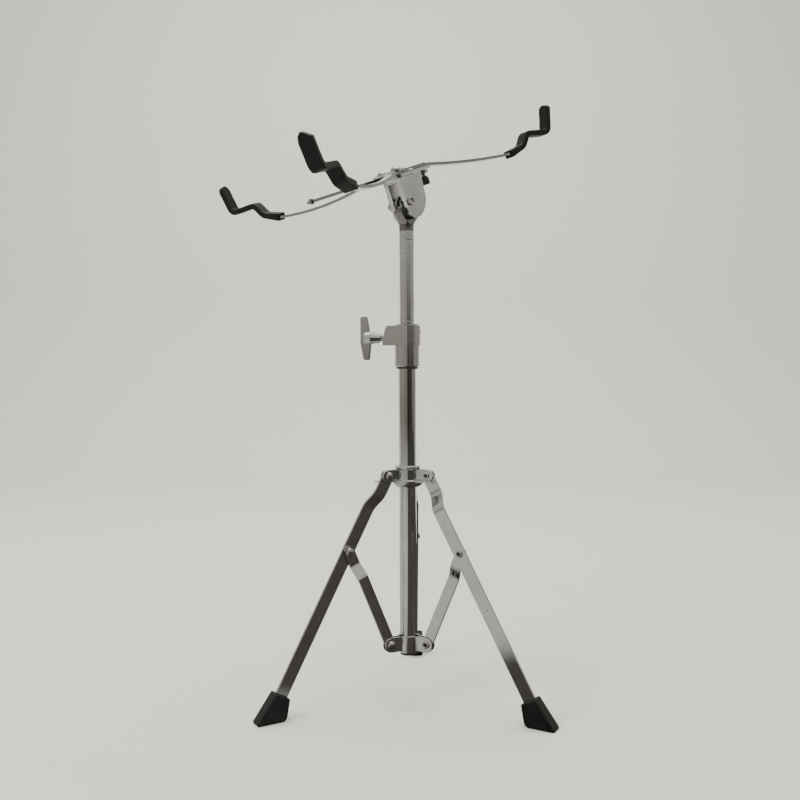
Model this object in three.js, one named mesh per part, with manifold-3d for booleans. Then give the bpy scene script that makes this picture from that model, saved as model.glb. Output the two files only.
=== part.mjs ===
// Snare drum stand: a folding flat-strap tripod on a chromed tube, a telescoping upper tube held
// by a wing screw, a tilting yoke, and a three-arm basket with rubber sleeves.
// Millimetres, +Z up. The tube's axis is vertical. The finished group is shifted so that the
// bottom centre of its bounding box is the origin.
import * as THREE from 'three';
import { mergeVertices } from 'three/addons/utils/BufferGeometryUtils.js';
import Module from 'manifold-3d';

const wasm = await Module();
wasm.setup();
const deg = THREE.MathUtils.degToRad;

// ---------------------------------------------------------------- driving dimensions
const GAP = 0.3;                       // clearance kept between touching pieces

// column
const LOWER_R = 9.525;                 // 19.05 mm tube
const LOWER_BORE_R = 8.525;
const LOWER_BOTTOM = 50.5;
const UPPER_R = 7.94;                  // 15.88 mm tube
const UPPER_BORE_R = 6.74;
const UPPER_BOTTOM = 262;
const UPPER_TOP = 513.3;

// tripod, in each leg's own plane: r outward, z up
const LEG_COUNT = 3;
const FIRST_LEG = 210.47;              // azimuth of leg 1, degrees
const LEG_ANGLE = 28.9;                // from vertical when open
const PIVOT_R = 24.7;                  // collar pivot
const PIVOT_Z = 247;
const LEG_TO_BRACE = 91;               // collar pivot to brace pivot, along the leg
const BASE_PIVOT_R = 23.35;            // bottom bracket pivot
const BASE_PIVOT_Z = 62;
const STRAP = 3;                       // strap thickness
const LEG_WIDTH = 13.5;
const BRACE_WIDTH = 12;
const LEG_OFFSET = -11;                // the leg's lower part stands beside the tube's radial plane
const BRACE_OFFSET = LEG_OFFSET + STRAP + GAP;
const FOLD_SLOT = { x: -1.28, z: 4.85 };  // where the slot in the brace's foot ends, from its pivot
const FOLD_SLOT_R = 3.3;
const RIVET_R = 2.5;
const LUG = 1.5;                       // pressed steel thickness of the collar and bracket
const LUG_OFFSET = STRAP / 2 + 0.35 + LUG / 2;

// clamp
const CLAMP_BOTTOM = 365.6;
const BLOCK_BOTTOM = 388.5;
const BLOCK_TOP = 409.8;
const BLOCK_BOSS_TOP = 411.6;
const BLOCK_END = -26.7;
const SCREW_Z = 397;
const SCREW_R = 4;

// tilter and basket: a along the sliding arm, b square to the plate, v across
const BASKET_AZIMUTH = 31.6;
const BASKET_TILT = 21.3;
const PLATE_Z = 579.5;                 // height at which the tube's axis meets the plate's datum
const TILT_PIVOT = { a: -18.1, b: -32.6 };
const CHEEK_IN = 9;
const CHEEK_OUT = 17;
const PLATE_BOTTOM = -5.5;
const PLATE_TOP = -2.5;
const ARM_WIDTH = 10;
const ARM_LEVEL = PLATE_TOP + GAP + STRAP / 2;
const ARM_PIVOT = { a: -23, v: 14.3 };
const LEFT_ARM_ANGLE = 121.7;
const FRONT_ARM_ANGLE = -141.4;
const SWING_REACH = 142.5;             // pivot to sleeve mouth
const SWING_MOUTH = -1.7;              // level of the sleeve mouth
const SLIDE_BEND = 27.2;                 // where the sliding arm leaves its channel and bends down
const SLIDE_REACH = 146.8;
const SLIDE_MOUTH = -19.2;
const SLIDE_PITCH = -10.9;
const TAIL_END = -127.6;
const THUMB_A = 19.9;

// hook, from the sleeve's mouth: distance outward and height of each bend
const HOOK = [[17.1, 7.2], [25.4, 21.7], [57.9, 21.7], [62.5, 54.6]];
const HOOK_RADII = [9, 5.5, 6.5];
const SLEEVE_HALF = 3.1;
const SLEEVE_WIDTH = 14.5;
const WALL_ANGLE = Math.atan2(HOOK[3][1] - HOOK[2][1], HOOK[3][0] - HOOK[2][0]);

// ---------------------------------------------------------------- materials
const metal = (name, color, roughness) =>
  new THREE.MeshStandardMaterial({ name, color, roughness, metalness: 1 });
const chrome = () => metal('chrome', 0xc9ccd0, 0.12);
const castChrome = () => metal('cast_chrome', 0xb9bcbf, 0.25);
const rivetSteel = () => metal('rivet_steel', 0xa9abad, 0.3);
const screwSteel = () => metal('screw_steel', 0x9b9ea1, 0.35);
const rubber = () => new THREE.MeshStandardMaterial({ name: 'rubber', color: 0x17181a, roughness: 0.75 });
const plastic = () => new THREE.MeshStandardMaterial({ name: 'plastic', color: 0x1b1b1c, roughness: 0.5 });

// ---------------------------------------------------------------- geometry helpers
function toSolid(geometry) {
  const bare = geometry.clone();
  bare.deleteAttribute('normal');
  bare.deleteAttribute('uv');
  const merged = mergeVertices(bare, 1e-4);
  const index = merged.index.array;
  const kept = [];
  for (let i = 0; i < index.length; i += 3) {
    const [a, b, c] = [index[i], index[i + 1], index[i + 2]];
    if (a !== b && b !== c && c !== a) kept.push(a, b, c);
  }
  const vertProperties = new Float32Array(merged.attributes.position.array);
  const triVerts = new Uint32Array(kept);
  return new wasm.Manifold(new wasm.Mesh({ numProp: 3, vertProperties, triVerts }));
}

function toGeometry(solid) {
  const mesh = solid.getMesh();
  const geometry = new THREE.BufferGeometry();
  geometry.setAttribute('position', new THREE.BufferAttribute(mesh.vertProperties, 3));
  geometry.setIndex(new THREE.BufferAttribute(mesh.triVerts, 1));
  geometry.computeVertexNormals();
  return geometry;
}

function named(name, shape, material) {
  const geometry = shape.isBufferGeometry ? shape : toGeometry(shape);
  const mesh = new THREE.Mesh(geometry, material);
  mesh.name = name;
  return mesh;
}

// A shape drawn in plan, extruded from z0 to z1.
function slab(shape, z0, z1) {
  return new THREE.ExtrudeGeometry(shape, { depth: z1 - z0, bevelEnabled: false, curveSegments: 5 })
    .translate(0, 0, z0);
}

// A shape drawn in side view (x, z), extruded across y and centred on y = 0.
function sidePlate(shape, width) {
  return new THREE.ExtrudeGeometry(shape, { depth: width, bevelEnabled: false, curveSegments: 5 })
    .rotateX(Math.PI / 2)
    .translate(0, width / 2, 0);
}

// A closed profile of [radius, height] pairs turned about the z axis.
function turned(profile, segments = 24) {
  const points = profile.map(([r, z]) => new THREE.Vector2(r, z));
  if (profile[0][0] > 0 || profile.at(-1)[0] > 0) points.push(points[0].clone());
  return new THREE.LatheGeometry(points, segments).rotateX(Math.PI / 2);
}

const tube = (outer, inner, z0, z1, segments = 28) =>
  turned([[inner, z0], [outer, z0], [outer, z1], [inner, z1]], segments);
const rod = (radius, z0, z1, segments = 16) =>
  turned([[0, z0], [radius, z0], [radius, z1], [0, z1]], segments);
const alongY = (geometry) => geometry.rotateX(-Math.PI / 2);

// A section drawn across the strap, in y and z, stretched along x from `start`.
function stretchedAlongX(section, start, length) {
  return new THREE.ExtrudeGeometry(section, { depth: length, bevelEnabled: false })
    .applyMatrix4(new THREE.Matrix4().makeBasis(
      new THREE.Vector3(0, 1, 0), new THREE.Vector3(0, 0, 1), new THREE.Vector3(1, 0, 0)))
    .translate(start, 0, 0);
}
const alongX = (geometry) => geometry.rotateY(Math.PI / 2);

// A polyline whose inner corners are rounded to the given radii.
function bentLine(points, radii, steps = 4) {
  const line = [new THREE.Vector2(...points[0])];
  for (let i = 1; i < points.length - 1; i += 1) {
    const corner = new THREE.Vector2(...points[i]);
    const back = new THREE.Vector2(...points[i - 1]).sub(corner).normalize();
    const ahead = new THREE.Vector2(...points[i + 1]).sub(corner).normalize();
    const half = back.angleTo(ahead) / 2;
    const radius = radii[i - 1];
    const middle = back.clone().add(ahead).normalize();
    const centre = corner.clone().addScaledVector(middle, radius / Math.sin(half));
    const start = corner.clone().addScaledVector(back, radius / Math.tan(half)).sub(centre);
    const sweep = Math.PI - 2 * half;
    const turn = Math.sign(start.cross(ahead));
    for (let k = 0; k <= steps; k += 1) {
      const point = start.clone().rotateAround(new THREE.Vector2(), (turn * sweep * k) / steps);
      line.push(point.add(centre));
    }
  }
  line.push(new THREE.Vector2(...points.at(-1)));
  return line;
}

// The outline of a bar that follows a line, with half its thickness to each side.
function ribbon(line, halfAt) {
  const left = [];
  const right = [];
  let travelled = 0;
  line.forEach((point, i) => {
    if (i > 0) travelled += point.distanceTo(line[i - 1]);
    const before = point.clone().sub(line[Math.max(i - 1, 0)]);
    const after = line[Math.min(i + 1, line.length - 1)].clone().sub(point);
    const a = (before.length() ? before : after).clone().normalize();
    const b = (after.length() ? after : before).clone().normalize();
    const normal = new THREE.Vector2(-a.y - b.y, a.x + b.x).normalize();
    const half = (typeof halfAt === 'function' ? halfAt(travelled) : halfAt);
    const reach = half / Math.max(normal.dot(new THREE.Vector2(-a.y, a.x)), 0.3);
    left.push(point.clone().addScaledVector(normal, reach));
    right.push(point.clone().addScaledVector(normal, -reach));
  });
  return new THREE.Shape([...left, ...right.reverse()]);
}

// A bar with round ends between two places on the x axis.
function capsule(x0, x1, half) {
  const shape = new THREE.Shape();
  shape.absarc(x1, 0, half, -Math.PI / 2, Math.PI / 2);
  shape.absarc(x0, 0, half, Math.PI / 2, (3 * Math.PI) / 2);
  return shape;
}

function circle(x, y, radius) {
  const shape = new THREE.Shape();
  shape.absarc(x, y, radius, 0, 2 * Math.PI);
  return shape;
}

function polygon(points) {
  return new THREE.Shape(points.map(([x, y]) => new THREE.Vector2(x, y)));
}

// A tubular rivet along y: a domed head on the +y side, a rolled hollow end on the -y side.
function rivet(half, headRadius) {
  const head = half + GAP;
  return alongY(turned([
    [0, -head + 1.2], [1.5, -head + 1.2], [1.8, -head - 1.5], [headRadius - 1.2, -head - 1.5],
    [headRadius - 0.8, -head], [RIVET_R, -head], [RIVET_R, head], [headRadius, head],
    [headRadius * 0.62, head + 2], [0, head + 2.6],
  ], 12));
}

// ---------------------------------------------------------------- column
function lowerTube() {
  return named('lower_tube', tube(LOWER_R, LOWER_BORE_R, LOWER_BOTTOM, BLOCK_BOTTOM - 1, 32), chrome());
}

function lowerTubePlug() {
  const r = LOWER_BORE_R - GAP;
  const flange = LOWER_R - 0.2;
  const z = LOWER_BOTTOM - GAP;
  const shape = turned([[0, z - 1.6], [flange - 0.6, z - 1.6], [flange, z - 1], [flange, z], [r, z],
    [r, z + 9], [0, z + 9]], 20);
  return named('lower_tube_plug', shape, plastic());
}

// The straps' and collar segments' side view: a band whose lugs have round ends.
function bandEnvelope(zLow, zHigh, pivotR, reach, segments = 36) {
  const middle = (zLow + zHigh) / 2;
  const half = (zHigh - zLow) / 2;
  const nose = Math.min(half, reach - pivotR);
  const profile = [[0, zLow], [reach - nose, zLow]];
  for (let k = 1; k < 6; k += 1) {
    const angle = -Math.PI / 2 + (Math.PI * k) / 6;
    profile.push([reach - nose + nose * Math.cos(angle), middle + half * Math.sin(angle)]);
  }
  profile.push([reach - nose, zHigh], [0, zHigh]);
  return turned(profile, segments);
}

// One pressed strap between two neighbouring legs, bent round a tube of the given radius.
// The strap's middle looks along +x and its lugs lie beside the legs at -60 and +60 degrees.
function pressedStrap(wrapRadius, reach) {
  const bend = Math.asin(LUG_OFFSET / wrapRadius);
  const lugStart = wrapRadius * Math.cos(bend);
  const place = (r, q, angle) => new THREE.Vector2(r, q).rotateAround(new THREE.Vector2(), angle);
  const low = deg(-60);
  const high = deg(60);
  const line = [place(reach + 2, LUG_OFFSET, low), place(lugStart + 3, LUG_OFFSET, low)];
  const steps = 8;
  for (let k = 0; k <= steps; k += 1) {
    const angle = low + bend + 0.12 + ((high - low - 2 * bend - 0.24) * k) / steps;
    line.push(place(wrapRadius, 0, angle));
  }
  line.push(place(lugStart + 3, -LUG_OFFSET, high), place(reach + 2, -LUG_OFFSET, high));
  return ribbon(line, LUG / 2);
}

function lugHoles(pivotR, z, radius) {
  const hole = () => alongY(rod(radius, -6, 6)).translate(pivotR, 0, z);
  return toSolid(hole().rotateZ(deg(-60))).add(toSolid(hole().rotateZ(deg(60))));
}

function bottomBracket(number) {
  const [low, high, reach] = [53.7, 70, 31.2];
  const shape = pressedStrap(LOWER_R + 0.35 + LUG / 2, reach);
  const strap = toSolid(slab(shape, low, high))
    .intersect(toSolid(bandEnvelope(low, high, BASE_PIVOT_R, reach)))
    .subtract(lugHoles(BASE_PIVOT_R, BASE_PIVOT_Z, RIVET_R + GAP));
  return named(`bottom_bracket_${number}`, strap, chrome());
}

function clampCasting() {
  const round = 15;
  const endHalf = 7.2;
  const shape = new THREE.Shape();
  shape.moveTo(0, -round - 0.9);
  shape.lineTo(3.5, -round + 0.4);
  shape.absarc(0, 0, round, deg(-76), deg(76));
  shape.lineTo(0, round + 0.9);
  shape.lineTo(BLOCK_END, endHalf);
  shape.lineTo(BLOCK_END, -endHalf);
  const boss = circle(0, 0, 13.1);
  const slant = polygon([[BLOCK_END - 3, 392], [BLOCK_END, 392], [BLOCK_END + 2.6, 406],
    [BLOCK_END + 4.6, BLOCK_TOP], [BLOCK_END + 4.6, BLOCK_TOP + 3], [BLOCK_END - 3, BLOCK_TOP + 3]]);
  const sleeve = turned([[0, CLAMP_BOTTOM], [13, CLAMP_BOTTOM], [13.65, CLAMP_BOTTOM + 0.8],
    [13.65, BLOCK_BOTTOM + 1], [0, BLOCK_BOTTOM + 1]], 32);
  const solid = toSolid(slab(shape, BLOCK_BOTTOM, BLOCK_TOP))
    .add(toSolid(slab(boss, BLOCK_BOTTOM + 2, BLOCK_BOSS_TOP)))
    .add(toSolid(sleeve))
    .subtract(toSolid(sidePlate(slant, 40)))
    .subtract(toSolid(rod(LOWER_R + GAP, CLAMP_BOTTOM - 5, BLOCK_BOTTOM - 0.6, 28)))
    .subtract(toSolid(rod(UPPER_R + 0.9, BLOCK_BOTTOM - 3, BLOCK_BOSS_TOP + 5, 28)))
    .subtract(toSolid(rod(UPPER_R + 2.2, BLOCK_BOSS_TOP - 7, BLOCK_BOSS_TOP + 5, 28)))
    .subtract(toSolid(alongX(rod(SCREW_R + GAP, BLOCK_END - 5, 0)).translate(0, 0, SCREW_Z)))
    .subtract(toSolid(alongX(rod(1.5, 11.5, 20, 12)).rotateZ(deg(-22)).translate(0, 0, 402.5)));
  return named('clamp_casting', solid, castChrome());
}

function clampBush() {
  const shape = tube(UPPER_R + 2.2 - GAP, UPPER_R + GAP, BLOCK_BOSS_TOP - 6.7, BLOCK_BOSS_TOP - 0.3);
  return named('clamp_bush', shape, plastic());
}

function clampRing() {
  const shape = turned([[LOWER_R + GAP, 362.9], [11.2, 362.9], [11.9, 363.6], [11.9, CLAMP_BOTTOM - GAP],
    [LOWER_R + GAP, CLAMP_BOTTOM - GAP]], 24);
  return named('clamp_ring', shape, plastic());
}

function wingScrewShank() {
  const profile = [[0, 8.3], [2.6, 8.3], [3.4, 9.4], [SCREW_R, 10.4], [SCREW_R, 40], [0, 40]];
  const shape = alongX(turned(profile.map(([r, x]) => [r, -x]).reverse(), 24)).translate(0, 0, SCREW_Z);
  return named('wing_screw_shank', shape, screwSteel());
}

function wingHandle() {
  const wing = new THREE.Shape();
  wing.moveTo(-51.2, -6);
  wing.lineTo(-51.2, 21);
  wing.quadraticCurveTo(-51, 24.4, -47, 24.4);
  wing.quadraticCurveTo(-43.2, 24.4, -42.6, 21.5);
  wing.lineTo(-40.2, 8);
  wing.lineTo(-39, -9);
  wing.lineTo(-40.3, -22);
  wing.quadraticCurveTo(-40.6, -24.3, -42, -24.3);
  wing.lineTo(-46.2, -24.3);
  wing.quadraticCurveTo(-48, -24.3, -48.4, -22);
  const bevel = 1;
  const lobes = new THREE.ExtrudeGeometry(wing, { depth: 5.6 - 2 * bevel, bevelEnabled: true,
    bevelThickness: bevel, bevelSize: bevel, bevelOffset: -bevel, bevelSegments: 1, curveSegments: 4 })
    .rotateX(Math.PI / 2)
    .translate(0, 2.8 - bevel, 0);
  const hub = alongX(turned([[0, -48], [4.6, -48], [6.4, -46], [7, -40.5], [5.4, -29.6], [5, -29],
    [0, -29]], 20));
  const bore = alongX(rod(SCREW_R + GAP, -40 - GAP, -20));
  const solid = toSolid(lobes).add(toSolid(hub)).subtract(toSolid(bore));
  const mesh = named('wing_handle', solid, castChrome());
  mesh.position.z = SCREW_Z;
  return mesh;
}

// ---------------------------------------------------------------- tripod
const COLLAR_R = 11.7;

function collarSleeve() {
  const r = LOWER_R + 0.4;
  const shape = turned([[r, 234], [13, 234], [13, 237.6], [COLLAR_R, 238.4], [COLLAR_R, 253.4],
    [13.5, 253.6], [14, 254.2], [14, 257], [r, 257]], 28);
  return named('collar_sleeve', shape, chrome());
}

function collarSegment(number) {
  const [low, high, reach] = [240, 253.2, 33];
  const wrap = COLLAR_R + GAP + LUG / 2;
  const wall = toSolid(slab(pressedStrap(wrap, reach), low, high))
    .intersect(toSolid(bandEnvelope(low, high, PIVOT_R, reach)));
  const inner = wrap + LUG / 4;
  const flange = new THREE.Shape();
  const corner = (r, q) => new THREE.Vector2(r, q).rotateAround(new THREE.Vector2(), deg(60));
  const lugFace = -LUG_OFFSET + LUG / 2;
  const points = [corner(inner, lugFace), corner(34, lugFace), corner(37.4, lugFace - 2.6),
    corner(37.6, lugFace - 6), corner(35, lugFace - 8.4), corner(25, lugFace - 8.8)];
  points.forEach((p, i) => (i ? flange.lineTo(p.x, p.y) : flange.moveTo(p.x, p.y)));
  flange.absarc(0, 0, 20.5, deg(22), deg(-42), true);
  flange.absarc(0, 0, inner, deg(-44), deg(50), false);
  const solid = wall.add(toSolid(slab(flange, low, low + LUG)))
    .subtract(lugHoles(PIVOT_R, PIVOT_Z, RIVET_R + GAP));
  return named(`collar_segment_${number}`, solid, chrome());
}

// The leg, in its own frame: origin at the collar pivot, -z down the leg, x outward, y across.
const FOOT_Z = -(PIVOT_Z / Math.cos(deg(LEG_ANGLE)) - 5.5);

function leg(number) {
  const across = bentLine([[0, 12], [0, -23], [LEG_OFFSET, -37.5], [LEG_OFFSET, FOOT_Z]], [14, 14], 4);
  const strap = stretchedAlongX(ribbon(across, STRAP / 2), -LEG_WIDTH / 2, LEG_WIDTH);
  const outline = new THREE.Shape();
  outline.moveTo(-LEG_WIDTH / 2, FOOT_Z);
  outline.lineTo(LEG_WIDTH / 2, FOOT_Z);
  outline.absarc(0, 0, LEG_WIDTH / 2, 0, Math.PI);
  const solid = toSolid(strap)
    .intersect(toSolid(sidePlate(outline, 60)))
    .subtract(toSolid(alongY(rod(RIVET_R + GAP, -4, 4))))
    .subtract(toSolid(alongY(rod(RIVET_R + GAP, -20, -4)).translate(0, 0, -LEG_TO_BRACE)));
  return named(`leg_${number}`, solid, chrome());
}

// The rubber boot, drawn in the leg's vertical plane and brought into the leg's frame.
function boot(number, toLegFrame) {
  const profile = polygon([[147.2, 0], [174.6, 0], [175.6, 1], [175.3, 2.6], [154.9, 30.2], [139.6, 22.4],
    [142.4, 6], [143.6, 2.2]]);
  const bevel = 1.2;
  const width = 15.6;
  const block = new THREE.ExtrudeGeometry(profile, { depth: width - 2 * bevel, bevelEnabled: true,
    bevelThickness: bevel, bevelSize: bevel, bevelOffset: -bevel, bevelSegments: 2 })
    .rotateX(Math.PI / 2)
    .translate(0, LEG_OFFSET + width / 2 - bevel, 0)
    .applyMatrix4(toLegFrame);
  const pocket = slab(polygon([[-1, -1], [1, -1], [1, 1], [-1, 1]]), 0, 60)
    .scale(LEG_WIDTH / 2 + GAP, STRAP / 2 + GAP, 1)
    .translate(0, LEG_OFFSET, FOOT_Z - GAP);
  return named(`boot_${number}`, toSolid(block).subtract(toSolid(pocket)), rubber());
}

// The brace, in its own frame: origin at its upper pivot, -z down to the bottom bracket.
const BRACE_TOP = {
  r: PIVOT_R + LEG_TO_BRACE * Math.sin(deg(LEG_ANGLE)),
  z: PIVOT_Z - LEG_TO_BRACE * Math.cos(deg(LEG_ANGLE)),
};
const BRACE_LENGTH = Math.hypot(BRACE_TOP.r - BASE_PIVOT_R, BRACE_TOP.z - BASE_PIVOT_Z);
const BRACE_ANGLE = Math.atan2(BRACE_TOP.r - BASE_PIVOT_R, BRACE_TOP.z - BASE_PIVOT_Z);

function brace(number) {
  const half = BRACE_WIDTH / 2;
  const across = bentLine([[BRACE_OFFSET, 10], [BRACE_OFFSET, -17], [0, -30], [0, -BRACE_LENGTH - 10]],
    [12, 12], 4);
  const strap = stretchedAlongX(ribbon(across, STRAP / 2), -half, BRACE_WIDTH);
  const outline = new THREE.Shape();
  outline.absarc(0, 0, half, 0, Math.PI);
  outline.absarc(0, -BRACE_LENGTH, half, Math.PI, 2 * Math.PI);
  const slot = sidePlate(capsule(0, Math.hypot(FOLD_SLOT.x, FOLD_SLOT.z), FOLD_SLOT_R), 8)
    .rotateY(-Math.atan2(FOLD_SLOT.z, FOLD_SLOT.x))
    .translate(0, 0, -BRACE_LENGTH);
  const solid = toSolid(strap)
    .intersect(toSolid(sidePlate(outline, 60)))
    .subtract(toSolid(alongY(rod(RIVET_R + GAP, -20, 4))))
    .subtract(toSolid(slot));
  return named(`brace_${number}`, solid, chrome());
}

// ---------------------------------------------------------------- upper tube and tilter
function tubeBush() {
  const spigot = UPPER_BORE_R - GAP;
  const z = UPPER_BOTTOM - GAP;
  const shape = turned([[0, z - 12], [UPPER_R - 0.4, z - 12], [UPPER_R + 0.25, z - 11], [UPPER_R + 0.25, z],
    [spigot, z], [spigot, z + 12], [0, z + 12]], 20);
  return named('tube_bush', shape, plastic());
}

function upperTube() {
  return named('upper_tube', tube(UPPER_R, UPPER_BORE_R, UPPER_BOTTOM, UPPER_TOP, 28), chrome());
}

// The tilter base stands in a frame turned to the basket's azimuth: x towards the raised side.
function tilterBase(pivot) {
  const spigot = UPPER_BORE_R - GAP;
  const cone = turned([[0, UPPER_TOP - 26], [spigot - 0.6, UPPER_TOP - 26], [spigot, UPPER_TOP - 25],
    [spigot, UPPER_TOP + GAP], [8.15, UPPER_TOP + GAP], [8.15, 519.4], [8.9, 521], [11.5, 526],
    [14, 530], [14.6, 533], [13.5, 535.5], [8, 537], [0, 537]], 24);
  const sides = polygon([[-20, -CHEEK_IN + 0.4], [20, -CHEEK_IN + 0.4], [20, CHEEK_IN - 0.4],
    [-20, CHEEK_IN - 0.4]]);
  const head = 7;
  const tongue = (radius, foot) => {
    const shape = new THREE.Shape();
    shape.moveTo(-foot, 526);
    shape.lineTo(foot, 526);
    shape.lineTo(foot, 531);
    shape.absarc(pivot.x, pivot.z, radius, deg(-12), deg(192));
    shape.lineTo(-foot, 531);
    return shape;
  };
  const gear = new THREE.Shape();
  const teeth = 14;
  for (let k = 0; k <= 2 * teeth; k += 1) {
    const angle = deg(-25) + (deg(230) * k) / (2 * teeth);
    const r = head + (k % 2 ? 1.8 : 0.6);
    const [x, z] = [pivot.x + r * Math.cos(angle), pivot.z + r * Math.sin(angle)];
    if (k) gear.lineTo(x, z); else gear.moveTo(x, z);
  }
  const plate = (y) => toSolid(sidePlate(tongue(head, 6.8), 3.4).translate(0, y, 0));
  const solid = toSolid(cone)
    .intersect(toSolid(slab(sides, UPPER_TOP - 40, 560)))
    .add(plate(-6.8)).add(plate(6.8))
    .add(toSolid(sidePlate(tongue(head - 1.5, 5.4), 14)))
    .add(toSolid(sidePlate(gear, 4.6)))
    .subtract(toSolid(alongY(rod(3.3, -20, 20)).translate(pivot.x, 0, pivot.z)));
  return named('tilter_base', solid, castChrome());
}

const YOKE_SCREW = { a: -3.5, v: 12.4 };
const TILT_STUD = { a: -18.4, b: -21 };

// The yoke, in the basket's frame.
function tilterYoke() {
  const cheek = new THREE.Shape();
  cheek.moveTo(6, PLATE_BOTTOM - GAP);
  cheek.lineTo(-23, PLATE_BOTTOM - GAP);
  cheek.lineTo(-23.4, -44.5);
  cheek.quadraticCurveTo(-22.6, -49.6, -17.5, -51.2);
  cheek.quadraticCurveTo(-11, -52, -5.2, -46.5);
  cheek.quadraticCurveTo(1.6, -40, 2.8, -32);
  cheek.quadraticCurveTo(3.6, -24, 4.8, -14);
  const web = polygon([[-23, -9.6], [5.2, -9.6], [6, PLATE_BOTTOM - GAP], [-23, PLATE_BOTTOM - GAP]]);
  const cheekPlate = (side) => toSolid(sidePlate(cheek, CHEEK_OUT - CHEEK_IN)
    .translate(0, (side * (CHEEK_OUT + CHEEK_IN)) / 2, 0));
  const { a, b } = TILT_PIVOT;
  const solid = cheekPlate(-1).add(cheekPlate(1))
    .add(toSolid(sidePlate(web, 2 * CHEEK_OUT - 4)))
    .subtract(toSolid(alongY(rod(3.3, -30, 30)).translate(a, 0, b)))
    .subtract(toSolid(alongY(rod(2.3, 12, 30)).translate(TILT_STUD.a, 0, TILT_STUD.b)))
    .subtract(toSolid(rod(2.3, -20, 5).translate(YOKE_SCREW.a, YOKE_SCREW.v, 0)))
    .subtract(toSolid(rod(2.3, -20, 5).translate(YOKE_SCREW.a, -YOKE_SCREW.v, 0)));
  return named('tilter_yoke', solid, castChrome());
}

function tiltBolt() {
  const outside = CHEEK_OUT + GAP;
  const shape = alongY(turned([[0, -outside - 1], [2.4, -outside - 1], [2.8, -outside - 2.3],
    [3.7, -outside - 2.3], [4.1, -outside - 1.8], [4.1, -outside], [3, -outside], [3, outside + 6.5],
    [2.4, outside + 7.2], [0, outside + 7.2]], 16)).translate(TILT_PIVOT.a, 0, TILT_PIVOT.b);
  return named('tilt_bolt', shape, rivetSteel());
}

function tiltNut() {
  const hexagon = new THREE.Shape();
  for (let k = 0; k < 6; k += 1) {
    const [x, y] = [5.8 * Math.cos(deg(60 * k)), 5.8 * Math.sin(deg(60 * k))];
    if (k) hexagon.lineTo(x, y); else hexagon.moveTo(x, y);
  }
  hexagon.holes.push(circle(0, 0, 3 + GAP));
  const shape = sidePlate(hexagon, 5).translate(TILT_PIVOT.a, CHEEK_OUT + GAP + 2.5, TILT_PIVOT.b);
  return named('tilt_nut', shape, screwSteel());
}

function tiltStud() {
  const shape = alongY(turned([[0, 13], [2, 13], [2, CHEEK_OUT + GAP], [2.9, CHEEK_OUT + GAP],
    [2.9, CHEEK_OUT + 4], [2.2, CHEEK_OUT + 5.4], [0, CHEEK_OUT + 5.8]], 14))
    .translate(TILT_STUD.a, 0, TILT_STUD.b);
  return named('tilt_stud', shape, screwSteel());
}

// ---------------------------------------------------------------- basket
function basketPlate() {
  const shape = new THREE.Shape();
  shape.absarc(19.4, 5, 7, 0, deg(90));
  shape.lineTo(4, 18);
  shape.absarc(ARM_PIVOT.a, ARM_PIVOT.v, 11, deg(70), deg(180));
  shape.absarc(ARM_PIVOT.a, -ARM_PIVOT.v, 11, deg(180), deg(290));
  shape.lineTo(4, -18);
  shape.absarc(19.4, -5, 7, deg(-90), 0);
  for (const side of [-1, 1]) {
    shape.holes.push(circle(ARM_PIVOT.a, side * ARM_PIVOT.v, 3 + GAP));
    shape.holes.push(circle(YOKE_SCREW.a, side * YOKE_SCREW.v, 2 + GAP));
  }
  shape.holes.push(circle(THUMB_A, 0, 2.5 + GAP));
  return named('basket_plate', slab(shape, PLATE_BOTTOM, PLATE_TOP), chrome());
}

function basketCover() {
  const low = ARM_LEVEL + STRAP / 2 + GAP;
  const shape = new THREE.Shape();
  shape.moveTo(-12.5, 7.4);
  shape.lineTo(-12.5, 15);
  shape.absarc(ARM_PIVOT.a, ARM_PIVOT.v, 10, deg(20), deg(180));
  shape.absarc(ARM_PIVOT.a, -ARM_PIVOT.v, 10, deg(180), deg(340));
  shape.lineTo(-12.5, -7.4);
  shape.lineTo(-19.6, -7.4);
  shape.lineTo(-19.6, 7.4);
  for (const side of [-1, 1]) shape.holes.push(circle(ARM_PIVOT.a, side * ARM_PIVOT.v, 3 + GAP));
  return named('basket_cover', slab(shape, low, low + 2), chrome());
}

const CHANNEL_BACK = -19;
const CHANNEL_LENGTH = 41.5;

function armChannel() {
  const inner = ARM_WIDTH / 2 + 0.35;
  const outer = inner + 1.4;
  const low = PLATE_TOP + GAP;
  const ceiling = ARM_LEVEL + STRAP / 2 + GAP;
  const section = polygon([[-outer, low], [-inner, low], [-inner, ceiling], [inner, ceiling], [inner, low],
    [outer, low], [outer, ceiling + 1.3], [-outer, ceiling + 1.3]]);
  return named('arm_channel', stretchedAlongX(section, CHANNEL_BACK, CHANNEL_LENGTH), chrome());
}

function yokeScrew(number, side) {
  const low = PLATE_TOP + GAP;
  const shape = turned([[0, -13], [1.6, -13], [2, -12.4], [2, low], [3.9, low], [3.7, low + 1.4],
    [2.6, low + 2.2], [0, low + 2.4]], 14).translate(YOKE_SCREW.a, side * YOKE_SCREW.v, 0);
  return named(`yoke_screw_${number}`, shape, rivetSteel());
}

function armRivet(name, side) {
  const cover = ARM_LEVEL + STRAP / 2 + GAP + 2;
  const shape = turned([[0, PLATE_BOTTOM + 0.1], [3, PLATE_BOTTOM + 0.1], [3, cover + GAP],
    [5.4, cover + GAP], [5, cover + 1.9], [3, cover + 3.3], [0, cover + 3.8]], 16)
    .translate(ARM_PIVOT.a, side * ARM_PIVOT.v, 0);
  return named(name, shape, rivetSteel());
}

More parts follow.
